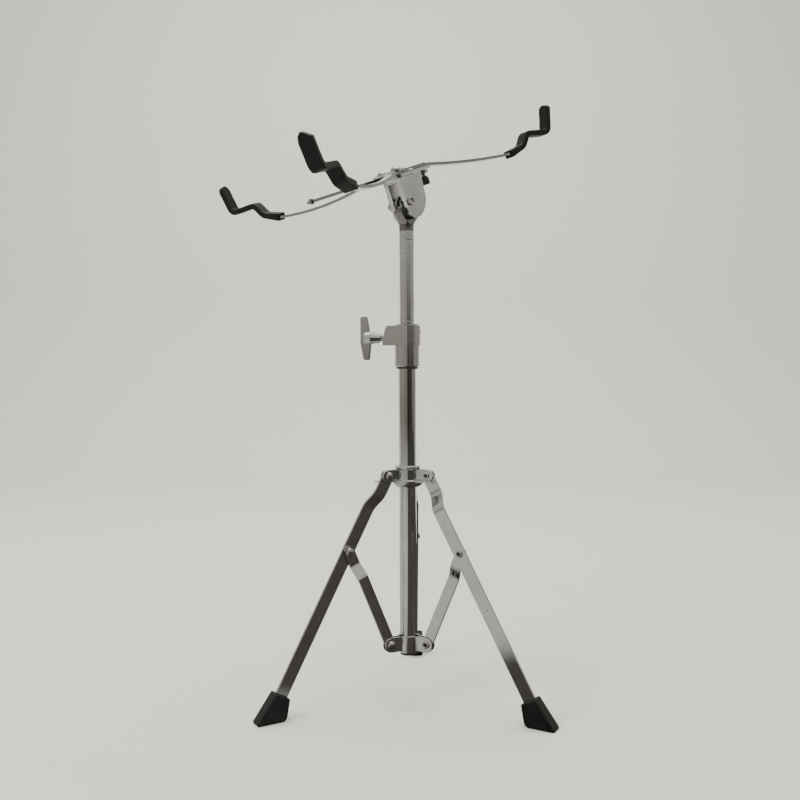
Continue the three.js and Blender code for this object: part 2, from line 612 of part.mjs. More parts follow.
function thumbBoss() {
  const top = PLATE_BOTTOM - GAP;
  const shape = turned([[2.5 + GAP, top - 3.4], [5.4, top - 3.4], [6.2, top - 2.4], [6.2, top],
    [2.5 + GAP, top]], 20).translate(THUMB_A, 0, 0);
  return named('thumb_boss', shape, castChrome());
}

function thumbShank() {
  const shape = turned([[0, -17], [2.5, -17], [2.5, PLATE_TOP - 0.8], [1.8, PLATE_TOP - 0.1],
    [0, PLATE_TOP - 0.1]], 14).translate(THUMB_A, 0, 0);
  return named('thumb_screw_shank', shape, screwSteel());
}

function thumbKnob() {
  const grips = 12;
  const outline = new THREE.Shape();
  for (let k = 0; k < 2 * grips; k += 1) {
    const r = k % 2 ? 4.7 : 4.2;
    const [x, y] = [r * Math.cos((Math.PI * k) / grips), r * Math.sin((Math.PI * k) / grips)];
    if (k) outline.lineTo(x, y); else outline.moveTo(x, y);
  }
  const knob = turned([[0, -21.6], [3.4, -21.6], [4.7, -20.6], [4.7, -14.2], [3.6, -13.2], [3.6, -12],
    [0, -12]], 24);
  const solid = toSolid(slab(outline, -21.6, -12))
    .intersect(toSolid(knob))
    .subtract(toSolid(rod(2.5 + GAP, -17 - GAP, -5)));
  const mesh = named('thumb_screw_knob', solid, plastic());
  mesh.position.x = THUMB_A;
  return mesh;
}

// The hook beyond the sleeve's mouth at (x, z), turned by pitch, as points for bentLine.
function hookPoints(x, z, pitch) {
  const mouth = new THREE.Vector2(x, z);
  return HOOK.map(([dx, dz]) => {
    const point = new THREE.Vector2(x + dx, z + dz).rotateAround(mouth, deg(pitch));
    return [point.x, point.y];
  });
}

// The arm's own centre line from its inner end to the top of the hook, less what the tip cuts off.
function armLine(start, mouth, pitch, short) {
  const hook = hookPoints(mouth[0], mouth[1], pitch);
  const wall = new THREE.Vector2(hook[3][0] - hook[2][0], hook[3][1] - hook[2][1]);
  const tip = new THREE.Vector2(...hook[3]).addScaledVector(wall.clone().normalize(), -short);
  return [...start, ...bentLine([mouth, ...hook.slice(0, 3), [tip.x, tip.y]], HOOK_RADII)];
}

function sleeve(name, mouth, pitch, tip) {
  const hook = hookPoints(mouth[0], mouth[1], pitch);
  const inward = new THREE.Vector2(-3, -0.6).rotateAround(new THREE.Vector2(), deg(pitch));
  const lip = [mouth[0] + inward.x, mouth[1] + inward.y];
  const outer = bentLine([lip, ...hook], HOOK_RADII);
  const flare = (s) => SLEEVE_HALF + 1.3 * Math.max(0, 1 - s / 9);
  const body = toSolid(sidePlate(ribbon(outer, flare), SLEEVE_WIDTH));
  const open = [mouth[0] + 3 * inward.x, mouth[1] + 3 * inward.y];
  const end = tip.through ? -4 : 5.5;
  const boreLine = armLine([new THREE.Vector2(...open)], mouth, pitch, end);
  const boreFlare = (s) => STRAP / 2 + GAP + 1.3 * Math.max(0, 1 - s / 15);
  const bore = toSolid(sidePlate(ribbon(boreLine, boreFlare), ARM_WIDTH + 2 * GAP));
  const cutter = slab(tip.cut, -8, 8).applyMatrix4(new THREE.Matrix4().makeBasis(
    new THREE.Vector3(0, 0, 1), new THREE.Vector3(0, 1, 0), new THREE.Vector3(-1, 0, 0)))
    .rotateY(Math.PI / 2 - WALL_ANGLE - deg(pitch))
    .translate(hook[3][0], 0, hook[3][1]);
  return named(name, body.subtract(bore).subtract(toSolid(cutter)), rubber());
}

// What each sleeve's tip loses, seen square to its wall: x is up the wall from its end, y across.
const HALF = SLEEVE_WIDTH / 2;
function roundTip() {
  const cut = new THREE.Shape();
  cut.moveTo(-HALF, -HALF - 3);
  cut.lineTo(4, -HALF - 3);
  cut.lineTo(4, HALF + 3);
  cut.lineTo(-HALF, HALF + 3);
  cut.absarc(-HALF, 0, HALF, deg(90), deg(-90), true);
  return { cut };
}
function gableTip() {
  return { cut: polygon([[-9, -HALF - 3], [4, -HALF - 3], [4, HALF + 3], [-6.5, HALF + 3], [-6.5, HALF],
    [-1.6, 0.6], [0, -2.4], [-3.4, -5.8], [-9, -HALF]]) };
}
function tornTip() {
  return { through: true, cut: polygon([[-4, -HALF - 3], [4, -HALF - 3], [4, HALF + 3], [-4, HALF + 3],
    [-4, HALF], [-1.2, HALF - 2.4], [-0.2, 1], [-1.6, -HALF + 2], [-4, -HALF]]) };
}

function swingArm(name) {
  const bow = [[-ARM_WIDTH, ARM_LEVEL], [20, ARM_LEVEL]].map((p) => new THREE.Vector2(...p));
  const steps = 12;
  for (let k = 1; k < steps; k += 1) {
    const s = k / steps;
    const sag = 5.6 * 4 * s * (1 - s);
    bow.push(new THREE.Vector2(20 + (SWING_REACH - 20) * s, ARM_LEVEL + (SWING_MOUTH - ARM_LEVEL) * s - sag));
  }
  const line = armLine(bow, [SWING_REACH, SWING_MOUTH], 0, 6);
  const plan = capsule(0, 230, ARM_WIDTH / 2);
  const solid = toSolid(sidePlate(ribbon(line, STRAP / 2), ARM_WIDTH + 4))
    .intersect(toSolid(slab(plan, -40, 80)).add(toSolid(slab(circle(0, 0, 6.4), -40, 80))))
    .subtract(toSolid(rod(3 + GAP, -20, 20)));
  return named(name, solid, chrome());
}

function slidingArm() {
  const bow = [[TAIL_END, ARM_LEVEL], [SLIDE_BEND, ARM_LEVEL]].map((p) => new THREE.Vector2(...p));
  const steps = 8;
  for (let k = 1; k < steps; k += 1) {
    const s = k / steps;
    const sag = 2.2 * 4 * s * (1 - s);
    bow.push(new THREE.Vector2(SLIDE_BEND + (SLIDE_REACH - SLIDE_BEND) * s,
      ARM_LEVEL + (SLIDE_MOUTH - ARM_LEVEL) * s - sag));
  }
  const line = armLine(bow, [SLIDE_REACH, SLIDE_MOUTH], SLIDE_PITCH, 1.2);
  const plan = capsule(TAIL_END + ARM_WIDTH / 2, 260, ARM_WIDTH / 2);
  const solid = toSolid(sidePlate(ribbon(line, STRAP / 2), ARM_WIDTH + 4))
    .intersect(toSolid(slab(plan, -60, 80)))
    .subtract(toSolid(rod(2 + GAP, -20, 20).translate(TAIL_END + 5, 0, 0)));
  return named('sliding_arm', solid, chrome());
}

function slideStop() {
  const top = ARM_LEVEL + STRAP / 2 + GAP;
  const bottom = ARM_LEVEL - STRAP / 2 - GAP;
  const shape = turned([[0, bottom - 1], [2.6, bottom - 1], [3, bottom], [2, bottom], [2, top], [3, top],
    [2.6, top + 1.6], [0, top + 2]], 12).translate(TAIL_END + 5, 0, 0);
  return named('slide_stop', shape, rivetSteel());
}

// ---------------------------------------------------------------- assembly
const stand = new THREE.Group();
stand.add(lowerTube(), lowerTubePlug(), clampCasting(), clampBush(), clampRing());
stand.add(wingScrewShank(), wingHandle(), collarSleeve());

for (let i = 0; i < LEG_COUNT; i += 1) {
  const number = i + 1;
  const azimuth = deg(FIRST_LEG + 120 * i);

  const between = new THREE.Group();
  between.rotation.z = azimuth + deg(60);
  between.add(bottomBracket(number), collarSegment(number));

  const radial = new THREE.Group();
  radial.rotation.z = azimuth;
  const collarPin = named(`collar_rivet_${number}`, rivet(LUG_OFFSET + LUG / 2, 4.3), rivetSteel());
  collarPin.position.set(PIVOT_R, 0, PIVOT_Z);
  const bottomPin = named(`bottom_rivet_${number}`, rivet(LUG_OFFSET + LUG / 2, 4.8), rivetSteel());
  bottomPin.position.set(BASE_PIVOT_R, 0, BASE_PIVOT_Z);

  const legFrame = new THREE.Group();
  legFrame.position.set(PIVOT_R, 0, PIVOT_Z);
  legFrame.rotation.y = -deg(LEG_ANGLE);
  legFrame.updateMatrix();
  const legPin = named(`leg_rivet_${number}`, rivet(STRAP + GAP / 2, 4.5), rivetSteel());
  legPin.position.set(0, (LEG_OFFSET + BRACE_OFFSET) / 2, -LEG_TO_BRACE);
  legFrame.add(leg(number), boot(number, legFrame.matrix.clone().invert()), legPin);

  const braceFrame = new THREE.Group();
  braceFrame.position.set(BRACE_TOP.r, 0, BRACE_TOP.z);
  braceFrame.rotation.y = BRACE_ANGLE;
  braceFrame.add(brace(number));

  radial.add(collarPin, bottomPin, legFrame, braceFrame);
  stand.add(between, radial);
}

const basket = new THREE.Group();
basket.rotation.set(0, -deg(BASKET_TILT), deg(BASKET_AZIMUTH), 'ZYX');
basket.position.set(0, 0, PLATE_Z);
const pivotRaised = new THREE.Vector3(TILT_PIVOT.a, 0, TILT_PIVOT.b)
  .applyAxisAngle(new THREE.Vector3(0, 1, 0), -deg(BASKET_TILT));
const tilterFrame = new THREE.Group();
tilterFrame.rotation.z = deg(BASKET_AZIMUTH);
tilterFrame.add(tilterBase({ x: pivotRaised.x, z: PLATE_Z + pivotRaised.z }));
stand.add(tubeBush(), upperTube(), tilterFrame);

basket.add(tilterYoke(), tiltBolt(), tiltNut(), tiltStud());
basket.add(basketPlate(), basketCover(), armChannel(), yokeScrew(1, -1), yokeScrew(2, 1));
basket.add(armRivet('arm_rivet_left', 1), armRivet('arm_rivet_front', -1));
basket.add(thumbBoss(), thumbShank(), thumbKnob());

const swingMouth = [SWING_REACH, SWING_MOUTH];
const leftFrame = new THREE.Group();
leftFrame.position.set(ARM_PIVOT.a, ARM_PIVOT.v, 0);
leftFrame.rotation.z = deg(LEFT_ARM_ANGLE);
leftFrame.add(swingArm('swing_arm_left'), sleeve('sleeve_left', swingMouth, 0, roundTip()));
const frontFrame = new THREE.Group();
frontFrame.position.set(ARM_PIVOT.a, -ARM_PIVOT.v, 0);
frontFrame.rotation.z = deg(FRONT_ARM_ANGLE);
frontFrame.add(swingArm('swing_arm_front'), sleeve('sleeve_front', swingMouth, 0, gableTip()));
basket.add(leftFrame, frontFrame, slidingArm(), slideStop());
basket.add(sleeve('sleeve_sliding', [SLIDE_REACH, SLIDE_MOUTH], SLIDE_PITCH, tornTip()));
stand.add(basket);

// The bounding box's bottom centre becomes the origin.
const group = new THREE.Group();
group.add(stand);
group.updateMatrixWorld(true);
const box = new THREE.Box3().setFromObject(group, true);
stand.position.set(-(box.min.x + box.max.x) / 2, -(box.min.y + box.max.y) / 2, -box.min.z);

export default group;
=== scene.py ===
from math import atan2, cos, pi, radians, sin

import bmesh
import bpy
from mathutils import Matrix, Vector


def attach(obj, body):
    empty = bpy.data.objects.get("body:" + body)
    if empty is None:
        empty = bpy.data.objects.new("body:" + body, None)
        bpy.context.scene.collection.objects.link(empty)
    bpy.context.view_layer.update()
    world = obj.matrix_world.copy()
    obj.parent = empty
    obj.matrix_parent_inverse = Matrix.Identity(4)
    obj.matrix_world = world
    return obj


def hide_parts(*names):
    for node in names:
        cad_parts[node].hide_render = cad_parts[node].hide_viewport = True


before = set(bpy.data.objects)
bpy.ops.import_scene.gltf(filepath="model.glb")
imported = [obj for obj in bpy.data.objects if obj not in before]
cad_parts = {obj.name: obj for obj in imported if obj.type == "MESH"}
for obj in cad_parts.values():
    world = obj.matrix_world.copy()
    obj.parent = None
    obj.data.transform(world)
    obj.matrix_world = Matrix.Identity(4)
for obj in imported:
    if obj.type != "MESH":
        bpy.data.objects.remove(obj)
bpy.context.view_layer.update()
scene = bpy.context.scene

# ------------------------------------------------------------------ studio
# The stand is seen from the front at about half its height. The tube's axis is at AXIS_X, AXIS_Y;
# the lens and the place of the camera show the stand at its true size in a square view.
AXIS_X, AXIS_Y = 0.024386, 0.024088
CAMERA_DISTANCE, CAMERA_HEIGHT = 0.97407, 0.35297
camera_data = bpy.data.cameras.new("camera")
camera_data.lens = 39.94
camera_data.sensor_width = 36.0
camera_data.clip_end = 30.0
camera = bpy.data.objects.new("camera", camera_data)
scene.collection.objects.link(camera)
pitch, yaw, roll = 0.0247, 0.0083, -0.0057
level = Vector((-sin(yaw), cos(yaw), 0.0))
across = Vector((cos(yaw), sin(yaw), 0.0))
ahead = cos(pitch) * level - sin(pitch) * Vector((0, 0, 1))
above = sin(pitch) * level + cos(pitch) * Vector((0, 0, 1))
right = cos(roll) * across + sin(roll) * above
top = -sin(roll) * across + cos(roll) * above
camera.matrix_world = Matrix((
    (right.x, top.x, -ahead.x, AXIS_X), (right.y, top.y, -ahead.y, AXIS_Y - CAMERA_DISTANCE),
    (right.z, top.z, -ahead.z, CAMERA_HEIGHT), (0, 0, 0, 1)))
scene.camera = camera

# Floor and back wall are one pale sheet that curves up far behind the stand.
CURVE = 0.7
sweep = bmesh.new()
front_edge = [sweep.verts.new((-5.0, -4.0, 0.0)), sweep.verts.new((5.0, -4.0, 0.0))]
edge = sweep.edges.new(front_edge)
curve_steps = [(CURVE * sin(radians(9 * k)) - CURVE * sin(radians(9 * (k - 1))),
                CURVE * cos(radians(9 * (k - 1))) - CURVE * cos(radians(9 * k))) for k in range(1, 11)]
for dy, dz in [(6.0, 0.0)] + curve_steps + [(0.0, 3.4)]:
    grown = bmesh.ops.extrude_edge_only(sweep, edges=[edge])["geom"]
    edge = next(g for g in grown if isinstance(g, bmesh.types.BMEdge))
    bmesh.ops.translate(sweep, verts=list(edge.verts), vec=(0, dy, dz))
bmesh.ops.recalc_face_normals(sweep, faces=sweep.faces)
backdrop_mesh = bpy.data.meshes.new("backdrop")
sweep.to_mesh(backdrop_mesh)
sweep.free()
backdrop = bpy.data.objects.new("backdrop", backdrop_mesh)
scene.collection.objects.link(backdrop)
for face in backdrop_mesh.polygons:
    face.use_smooth = True


def ranged(nodes, low, high, to_low=0.0, to_high=1.0):
    """A node that maps values from low..high to to_low..to_high."""
    node = nodes.new("ShaderNodeMapRange")
    node.inputs["From Min"].default_value, node.inputs["From Max"].default_value = low, high
    node.inputs["To Min"].default_value, node.inputs["To Max"].default_value = to_low, to_high
    return node


def colour_stop(stop, place, colour):
    stop.position, stop.color = place, (*colour, 1)


paper = bpy.data.materials.new("pale_paper")
paper.use_nodes = True
paper_nodes, paper_links = paper.node_tree.nodes, paper.node_tree.links
paper_nodes["Principled BSDF"].inputs["Roughness"].default_value = 0.9
# painted reflection: to glossy rays, on the sheet before y = 0.9 m, it shows dark in front and on the right
# and light on the left, so that the chrome mirrors a dark band and a light floor that are not there
rays = paper_nodes.new("ShaderNodeLightPath")
paper_place = paper_nodes.new("ShaderNodeTexCoord")
paper_axes = paper_nodes.new("ShaderNodeSeparateXYZ")
paper_links.new(paper_place.outputs["Object"], paper_axes.inputs[0])
mirrored = ranged(paper_nodes, -1.0, 1.0)
paper_links.new(paper_axes.outputs["X"], mirrored.inputs["Value"])
# painted reflection colours: light on the left half, dark on the right half, seen only in the chrome
painted_reflection_ramp = paper_nodes.new("ShaderNodeValToRGB")
colour_stop(painted_reflection_ramp.color_ramp.elements[0], 0.45, (0.47, 0.465, 0.44))
colour_stop(painted_reflection_ramp.color_ramp.elements[1], 0.49, (0.040, 0.035, 0.034))
paper_links.new(mirrored.outputs["Result"], painted_reflection_ramp.inputs["Fac"])
near = paper_nodes.new("ShaderNodeMath")
near.operation = "LESS_THAN"
near.inputs[1].default_value = 0.9
paper_links.new(paper_axes.outputs["Y"], near.inputs[0])
both = paper_nodes.new("ShaderNodeMath")
both.operation = "MULTIPLY"
paper_links.new(near.outputs["Value"], both.inputs[0])
paper_links.new(rays.outputs["Is Glossy Ray"], both.inputs[1])
paper_mix = paper_nodes.new("ShaderNodeMix")
paper_mix.data_type = "RGBA"
paper_mix.inputs[6].default_value = (0.80, 0.80, 0.75, 1)
paper_links.new(both.outputs["Value"], paper_mix.inputs["Factor"])
paper_links.new(painted_reflection_ramp.outputs["Color"], paper_mix.inputs[7])
paper_links.new(paper_mix.outputs[2], paper_nodes["Principled BSDF"].inputs["Base Color"])
backdrop_mesh.materials.append(paper)

# The room: light from above, darker low down and on the right, so that the chrome has something to mirror.
world = bpy.data.worlds.new("room")
scene.world = world
world.use_nodes = True
room = world.node_tree
room_links = room.links
direction = room.nodes.new("ShaderNodeTexCoord")
split = room.nodes.new("ShaderNodeSeparateXYZ")
room_links.new(direction.outputs["Generated"], split.inputs[0])
height_ramp = room.nodes.new("ShaderNodeValToRGB")
height_map = ranged(room.nodes, -1.0, 1.0)
room_links.new(split.outputs["Z"], height_map.inputs["Value"])
room_links.new(height_map.outputs["Result"], height_ramp.inputs["Fac"])
heights = height_ramp.color_ramp
colour_stop(heights.elements[0], 0.0, (0.20, 0.18, 0.16))
colour_stop(heights.elements[1], 1.0, (0.95, 0.94, 0.90))
for place, colour in [(0.46, (0.30, 0.28, 0.25)), (0.52, (0.62, 0.60, 0.55)), (0.75, (0.80, 0.78, 0.72))]:
    colour_stop(heights.elements.new(place), place, colour)
side_ramp = room.nodes.new("ShaderNodeValToRGB")
side_map = ranged(room.nodes, -1.0, 1.0)
room_links.new(split.outputs["X"], side_map.inputs["Value"])
room_links.new(side_map.outputs["Result"], side_ramp.inputs["Fac"])
sides = side_ramp.color_ramp
colour_stop(sides.elements[0], 0.0, (0.90, 0.88, 0.83))
colour_stop(sides.elements[1], 1.0, (0.75, 0.73, 0.69))
for place, shade in [(0.20, 0.72), (0.36, 0.66), (0.485, 0.62), (0.51, 0.12), (0.60, 0.06), (0.70, 0.10),
                     (0.76, 0.30), (0.80, 0.12), (0.90, 0.10), (0.95, 0.45)]:
    colour_stop(sides.elements.new(place), place, (shade, shade * 0.98, shade * 0.95))
mixed = room.nodes.new("ShaderNodeMix")
mixed.data_type = "RGBA"
mixed.blend_type = "MULTIPLY"
# the dark things on the right stand low: above the horizon they fade
low_band = ranged(room.nodes, 0.03, 0.20, 1.0, 0.0)
room_links.new(split.outputs["Z"], low_band.inputs["Value"])
room_links.new(low_band.outputs["Result"], mixed.inputs["Factor"])
room_links.new(height_ramp.outputs["Color"], mixed.inputs[6])
room_links.new(side_ramp.outputs["Color"], mixed.inputs[7])
seen = room.nodes.new("ShaderNodeLightPath")
plain = room.nodes.new("ShaderNodeMix")
plain.data_type = "RGBA"
plain.inputs[7].default_value = (0.68, 0.68, 0.63, 1)
room_links.new(seen.outputs["Is Camera Ray"], plain.inputs["Factor"])
room_links.new(mixed.outputs[2], plain.inputs[6])
room_links.new(plain.outputs[2], room.nodes["Background"].inputs["Color"])
room.nodes["Background"].inputs["Strength"].default_value = 0.9

STAND_MIDDLE, WALL_FOOT = Vector((0.0, 0.1, 0.35)), Vector((0.0, 2.8, 0.9))
for lamp_name, place, aim_at, size, power, mirrored_too in [
        ("key_softbox", (-1.7, -1.1, 1.9), STAND_MIDDLE, (1.3, 1.0), 34.0, False),
        ("top_softbox", (0.1, 0.25, 2.6), STAND_MIDDLE, (2.2, 1.8), 40.0, True),
        ("wall_softbox", (0.0, 0.9, 2.3), WALL_FOOT, (2.6, 0.6), 27.0, False)]:
    lamp_data = bpy.data.lights.new(lamp_name, "AREA")
    lamp_data.shape = "RECTANGLE"
    lamp_data.size, lamp_data.size_y = size
    lamp_data.energy = power
    lamp_data.color = (1.0, 0.985, 0.95)
    lamp = bpy.data.objects.new(lamp_name, lamp_data)
    lamp.location = place
    lamp.rotation_euler = (aim_at - Vector(place)).to_track_quat("-Z", "Y").to_euler()
    lamp.visible_glossy = mirrored_too
    scene.collection.objects.link(lamp)

# ------------------------------------------------------------------ lower tube
# A 19 mm steel tube, chrome plated, with a black plastic plug pressed into its foot. The clamp casting is
# pressed over its top end. Its plating has fine rubbing marks along it where the collar slides.
MM = 0.001
AXIS = Matrix.Translation((AXIS_X, AXIS_Y, 0.0))


def finish_piece(piece, node_names, body, material, bevel=0.0, segments=2, angle=32.0):
    """Gives a made piece its smooth shading, eased edges and material, and hands it to the frame."""
    for polygon in piece.data.polygons:
        polygon.use_smooth = True
    if bevel:
        ease = piece.modifiers.new("eased_edges", "BEVEL")
        ease.width = bevel
        ease.segments = segments
        ease.limit_method = "ANGLE"
        ease.angle_limit = radians(angle)
        ease.material = -1
        level_faces = piece.modifiers.new("level_faces", "WEIGHTED_NORMAL")
        level_faces.weight = 80
        level_faces.keep_sharp = True
    piece.data.materials.clear()
    piece.data.materials.append(material)
    if node_names:
        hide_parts(*node_names)
    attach(piece, body)
    return piece


def turned(name, profile, place, steps=96, closed=False):
    """Turns a profile of (radius, height) in mm about its own z axis and puts it in its place."""
    # a long face gets a point near each end, so that its smooth shading stays flat between them
    held = [Vector(profile[0])]
    for start, end in zip(map(Vector, profile), map(Vector, profile[1:])):
        if (end - start).length > 3.0:
            inset = (end - start).normalized() * 0.6
            held += [start + inset, end - inset]
        held.append(end)
    shape = bmesh.new()
    points = [shape.verts.new((r * MM, 0.0, z * MM)) for r, z in held]
    lines = [shape.edges.new(pair) for pair in zip(points, points[1:])]
    if closed:
        lines.append(shape.edges.new((points[-1], points[0])))
    bmesh.ops.spin(shape, geom=points + lines, cent=(0, 0, 0), axis=(0, 0, 1), angle=2 * pi,
                   steps=steps, use_merge=True)
    bmesh.ops.remove_doubles(shape, verts=shape.verts, dist=1e-7)
    bmesh.ops.recalc_face_normals(shape, faces=shape.faces)
    bmesh.ops.transform(shape, matrix=place, verts=shape.verts)
    mesh = bpy.data.meshes.new(name)
    shape.to_mesh(mesh)
    shape.free()
    piece = bpy.data.objects.new(name, mesh)
    scene.collection.objects.link(piece)
    return piece


def rounded(profile, radius, steps=4):
    """Eases each corner of an open (radius, height) profile except its two ends."""
    eased = [profile[0]]
    for before, corner, after in zip(profile, profile[1:], profile[2:]):
        c = Vector(corner)
        a, b = Vector(before) - c, Vector(after) - c
        reach = min(radius, a.length * 0.45, b.length * 0.45)
        start, end = c + a.normalized() * reach, c + b.normalized() * reach
        for k in range(steps + 1):
            t = k / steps
            eased.append(tuple((1 - t) ** 2 * start + 2 * t * (1 - t) * c + t ** 2 * end))
    eased.append(profile[-1])
    return eased


def plating(name, color, rough, grain=(1.0, 1.0, 1.0), pits=0.0, ripple=0.02, haze=0.10):
    """Plated metal: a mirror with a thin haze that varies, rubbing marks along its grain and small pits."""
    material = bpy.data.materials.new(name)
    material.use_nodes = True
    nodes, links = material.node_tree.nodes, material.node_tree.links
    shader = nodes["Principled BSDF"]
    shader.inputs["Metallic"].default_value = 1.0
    place = nodes.new("ShaderNodeTexCoord")
    grained = nodes.new("ShaderNodeMapping")
    grained.inputs["Scale"].default_value = grain
    links.new(place.outputs["Object"], grained.inputs["Vector"])
    cloud = nodes.new("ShaderNodeTexNoise")
    cloud.inputs["Scale"].default_value = 38.0
    cloud.inputs["Detail"].default_value = 6.0
    cloud.inputs["Roughness"].default_value = 0.62
    links.new(place.outputs["Object"], cloud.inputs["Vector"])
    marks = nodes.new("ShaderNodeTexNoise")
    marks.inputs["Scale"].default_value = 900.0
    marks.inputs["Detail"].default_value = 3.0
    links.new(grained.outputs["Vector"], marks.inputs["Vector"])
    # the haze: roughness between the clean mirror and the rubbed patches
    hazy = ranged(nodes, 0.40, 0.72, rough, rough + haze)
    links.new(cloud.outputs["Fac"], hazy.inputs["Value"])
    scuffs = ranged(nodes, 0.55, 0.80, 0.0, haze * 0.9)
    links.new(marks.outputs["Fac"], scuffs.inputs["Value"])
    total = nodes.new("ShaderNodeMath")
    total.operation = "ADD"
    links.new(hazy.outputs["Result"], total.inputs[0])
    links.new(scuffs.outputs["Result"], total.inputs[1])
    # the colour: clean plating, a little duller where it is hazy
    tint = nodes.new("ShaderNodeValToRGB")
    colour_stop(tint.color_ramp.elements[0], 0.35, color)
    colour_stop(tint.color_ramp.elements[1], 0.75, (color[0] * 0.86, color[1] * 0.85, color[2] * 0.83))
    links.new(cloud.outputs["Fac"], tint.inputs["Fac"])
    color_out, rough_out = tint.outputs["Color"], total.outputs["Value"]
    bump = nodes.new("ShaderNodeBump")
    bump.inputs["Strength"].default_value = ripple
    bump.inputs["Distance"].default_value = 0.0006
    links.new(cloud.outputs["Fac"], bump.inputs["Height"])
    links.new(bump.outputs["Normal"], shader.inputs["Normal"])
    if pits:
        # pits: few small round spots where the plating has gone and the steel has browned
        spots = nodes.new("ShaderNodeTexVoronoi")
        spots.inputs["Scale"].default_value = 260.0
        links.new(place.outputs["Object"], spots.inputs["Vector"])
        where = nodes.new("ShaderNodeTexNoise")
        where.inputs["Scale"].default_value = 30.0
        links.new(place.outputs["Object"], where.inputs["Vector"])
        rare = ranged(nodes, 0.52, 0.75, 0.0, pits)
        links.new(where.outputs["Fac"], rare.inputs["Value"])
        inside = nodes.new("ShaderNodeMath")
        inside.operation = "LESS_THAN"
        links.new(spots.outputs["Distance"], inside.inputs[0])
        links.new(rare.outputs["Result"], inside.inputs[1])
        browned = nodes.new("ShaderNodeMix")
        browned.data_type = "RGBA"
        browned.inputs[7].default_value = (0.055, 0.04, 0.03, 1)
        links.new(inside.outputs["Value"], browned.inputs["Factor"])
        links.new(color_out, browned.inputs[6])
        color_out = browned.outputs[2]
        rougher = nodes.new("ShaderNodeMath")
        rougher.operation = "MULTIPLY_ADD"
        rougher.inputs[1].default_value = 0.55
        links.new(inside.outputs["Value"], rougher.inputs[0])
        links.new(rough_out, rougher.inputs[2])
        rough_out = rougher.outputs["Value"]
    links.new(color_out, shader.inputs["Base Color"])
    links.new(rough_out, shader.inputs["Roughness"])
    return material


CHROME = (0.56, 0.565, 0.565)
tube_chrome = plating("tube_chrome", CHROME, 0.035, grain=(1, 1, 0.06), pits=0.22)
LOWER_R, LOWER_BORE, LOWER_FOOT, LOWER_TOP = 9.525, 8.525, 50.5, 387.5
lower = turned("lower_tube_skin", [(LOWER_BORE, LOWER_FOOT + 0.2), (LOWER_BORE + 0.25, LOWER_FOOT),
               (LOWER_R - 0.35, LOWER_FOOT), (LOWER_R, LOWER_FOOT + 0.35), (LOWER_R, LOWER_TOP - 0.3),
               (LOWER_R - 0.3, LOWER_TOP), (LOWER_BORE + 0.1, LOWER_TOP), (LOWER_BORE, LOWER_TOP - 0.2)],
               AXIS, steps=128, closed=True)
finish_piece(lower, ["lower_tube"], "stand_column", tube_chrome)


def moulded(name, color, rough, grain_scale=900.0, grain_depth=0.00008, strength=0.35, specular=0.5):
    """Moulded black rubber or plastic: a fine pebbled skin with rubbed, slightly paler patches."""
    material = bpy.data.materials.new(name)
    material.use_nodes = True
    nodes, links = material.node_tree.nodes, material.node_tree.links
    shader = nodes["Principled BSDF"]
    shader.inputs["Specular IOR Level"].default_value = specular
    place = nodes.new("ShaderNodeTexCoord")
    pebble = nodes.new("ShaderNodeTexNoise")
    pebble.inputs["Scale"].default_value = grain_scale
    pebble.inputs["Detail"].default_value = 4.0
    links.new(place.outputs["Object"], pebble.inputs["Vector"])
    worn = nodes.new("ShaderNodeTexNoise")
    worn.inputs["Scale"].default_value = 55.0
    worn.inputs["Detail"].default_value = 7.0
    worn.inputs["Roughness"].default_value = 0.65
    links.new(place.outputs["Object"], worn.inputs["Vector"])
    shade = nodes.new("ShaderNodeValToRGB")
    colour_stop(shade.color_ramp.elements[0], 0.42, color)
    colour_stop(shade.color_ramp.elements[1], 0.78, (color[0] * 2.6, color[1] * 2.5, color[2] * 2.4))
    links.new(worn.outputs["Fac"], shade.inputs["Fac"])
    links.new(shade.outputs["Color"], shader.inputs["Base Color"])
    sheen = ranged(nodes, 0.35, 0.75, rough, rough + 0.16)
    links.new(worn.outputs["Fac"], sheen.inputs["Value"])
    links.new(sheen.outputs["Result"], shader.inputs["Roughness"])
    bump = nodes.new("ShaderNodeBump")
    bump.inputs["Strength"].default_value = strength
    bump.inputs["Distance"].default_value = grain_depth
    links.new(pebble.outputs["Fac"], bump.inputs["Height"])
    links.new(bump.outputs["Normal"], shader.inputs["Normal"])
    return material


black_plastic = moulded("black_plastic", (0.018, 0.018, 0.019), 0.38)
plug_profile = rounded([(0, 48.6), (8.7, 48.6), (9.3, 49.2), (9.3, 50.2), (8.2, 50.2), (8.2, 59.2),
                        (0, 59.2)], 0.3)
plug = turned("foot_plug", plug_profile, AXIS, steps=64)
finish_piece(plug, ["lower_tube_plug"], "stand_column", black_plastic)

# ------------------------------------------------------------------ bottom bracket
# Three straps of 1.5 mm pressed steel wrap the tube's foot and meet in pairs as lugs on both sides of each
# brace. They are chromed after pressing, so their edges are soft.


def kept_shape(node, name):
    """A merged copy of a framed piece's own shape, with its flat faces whole again."""
    shape = bmesh.new()
    shape.from_mesh(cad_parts[node].data)
    bmesh.ops.remove_doubles(shape, verts=shape.verts, dist=2e-6)
    bmesh.ops.dissolve_limit(shape, angle_limit=radians(0.6), verts=shape.verts, edges=shape.edges)
    mesh = bpy.data.meshes.new(name)
    shape.to_mesh(mesh)
    shape.free()
    piece = bpy.data.objects.new(name, mesh)
    scene.collection.objects.link(piece)
    return piece


pressed_chrome = plating("pressed_chrome", CHROME, 0.05, grain=(1, 1, 0.3), pits=0.12, ripple=0.05)
for number in (1, 2, 3):
    strap = kept_shape(f"bottom_bracket_{number}", f"bracket_strap_{number}")
    finish_piece(strap, [f"bottom_bracket_{number}"], "stand_column", pressed_chrome,
                 bevel=0.00035)

